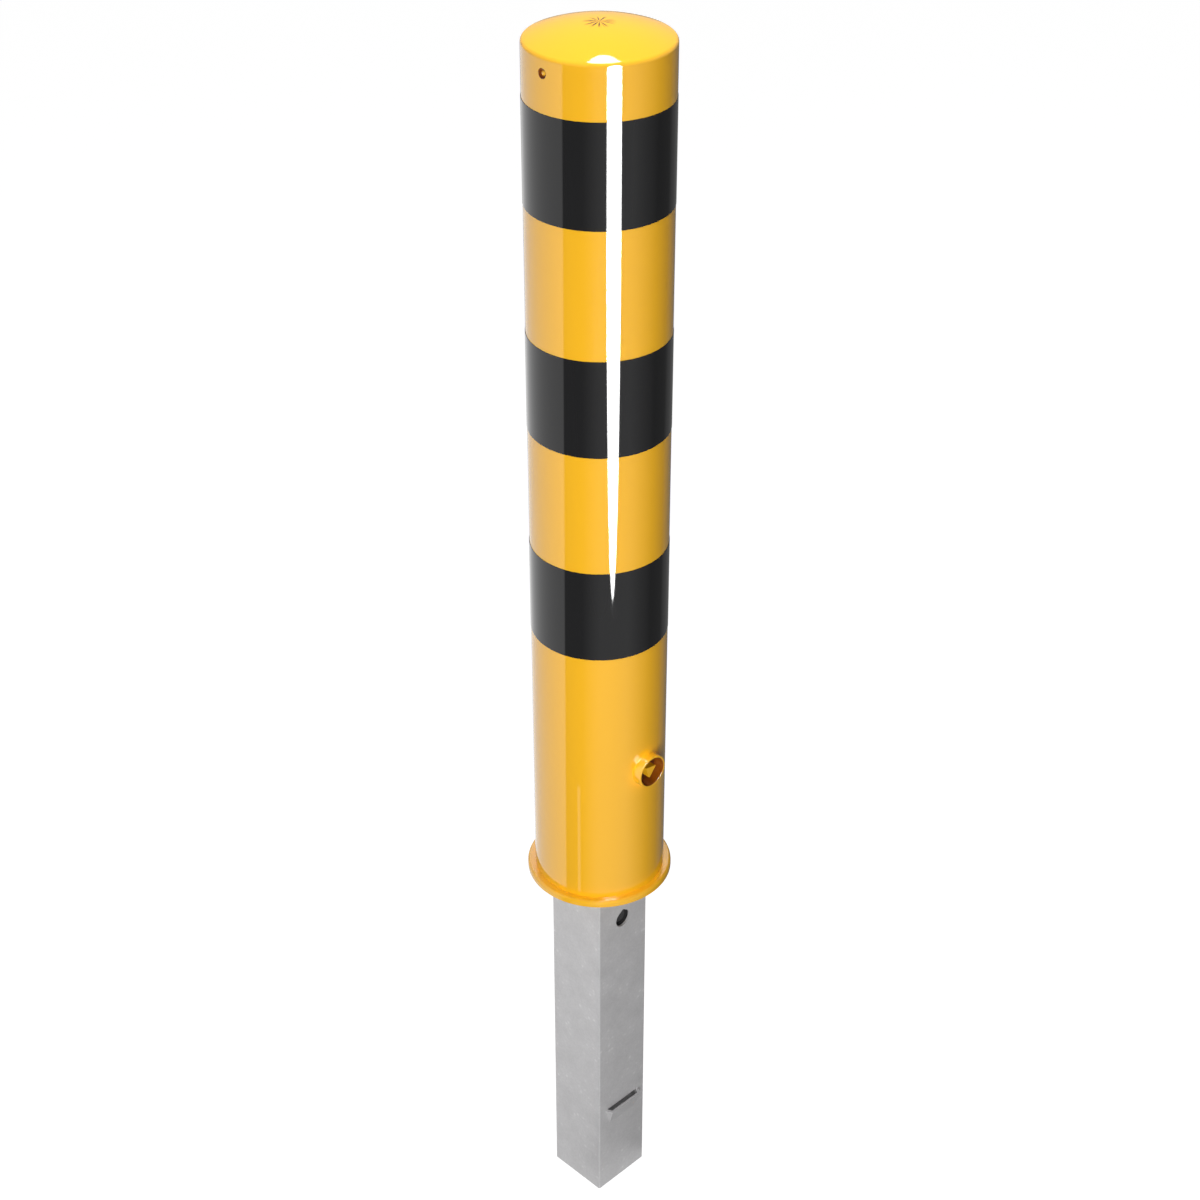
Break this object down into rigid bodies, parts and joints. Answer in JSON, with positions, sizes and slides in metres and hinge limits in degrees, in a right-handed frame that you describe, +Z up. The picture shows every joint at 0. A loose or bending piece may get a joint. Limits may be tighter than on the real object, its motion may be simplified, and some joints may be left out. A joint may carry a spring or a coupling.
{
  "type": "removable barrier post",
  "caption": "Round striped barrier post with a domed cap and a key lock, standing in a square steel ground socket that is set in concrete.",
  "frame": {"origin": "centre of the ground socket's foot, at the bottom of the whole post; ground level is 0.5 m above it", "axes": "+Z up along the post's axis, -Y towards the lock and the latch hole, -X towards the vent plug"},
  "size_m": [0.17, 0.17, 1.524],
  "materials": {
    "yellow_coat": "glossy yellow powder coat",
    "black_film": "satin black film",
    "black_primer": "dull black dip primer",
    "phosphated": "dark phosphated and oiled steel",
    "galvanised": "dull hot-dip galvanised",
    "zinc_plated": "bright zinc plated",
    "bronze": "turned bearing bronze"
  },
  "bodies": {
    "socket": {"ground_socket": "galvanised"},
    "post": {"post_tube": "yellow_coat", "dished_cap": "yellow_coat", "foot_flange": "yellow_coat", "spigot": "black_primer", "brace_plate": "black_primer", "band_top": "black_film", "band_middle": "black_film", "band_bottom": "black_film", "vent_plug": "yellow_coat", "lock_barrel": "yellow_coat", "spindle_bush": "bronze", "bolt_guide": "black_primer", "rod_guide": "black_primer"},
    "spindle": {"key_spindle": "yellow_coat", "thrust_washer": "zinc_plated", "cam_plate": "zinc_plated", "cam_washer": "zinc_plated", "cam_screw": "zinc_plated"},
    "rod": {"lock_rod": "zinc_plated", "follower_pin": "zinc_plated", "wedge_plate": "phosphated"},
    "bolt": {"latch_bolt": "phosphated", "cross_pin": "phosphated"}
  },
  "joints": [
    {"name": "post_lift", "type": "slide", "parent": "socket", "child": "post", "axis": [0, 0, 1], "range_m": [0, 0.4]},
    {"name": "key_turn", "type": "hinge", "parent": "post", "child": "spindle", "pos_m": [0, -0.071, 0.679], "axis": [0, 1, 0], "range_deg": [0, 180]},
    {"name": "rod_slide", "type": "slide", "parent": "post", "child": "rod", "axis": [0, 0, 1], "range_m": [0, 0.006]},
    {"name": "bolt_slide", "type": "slide", "parent": "post", "child": "bolt", "axis": [0, -1, 0], "range_m": [0, 0.006]}
  ],
  "couplings": [
    {"joint": "rod_slide", "follows": "key_turn", "m_per_rad": 0.0019099},
    {"joint": "bolt_slide", "follows": "key_turn", "m_per_rad": 0.0019099}
  ]
}
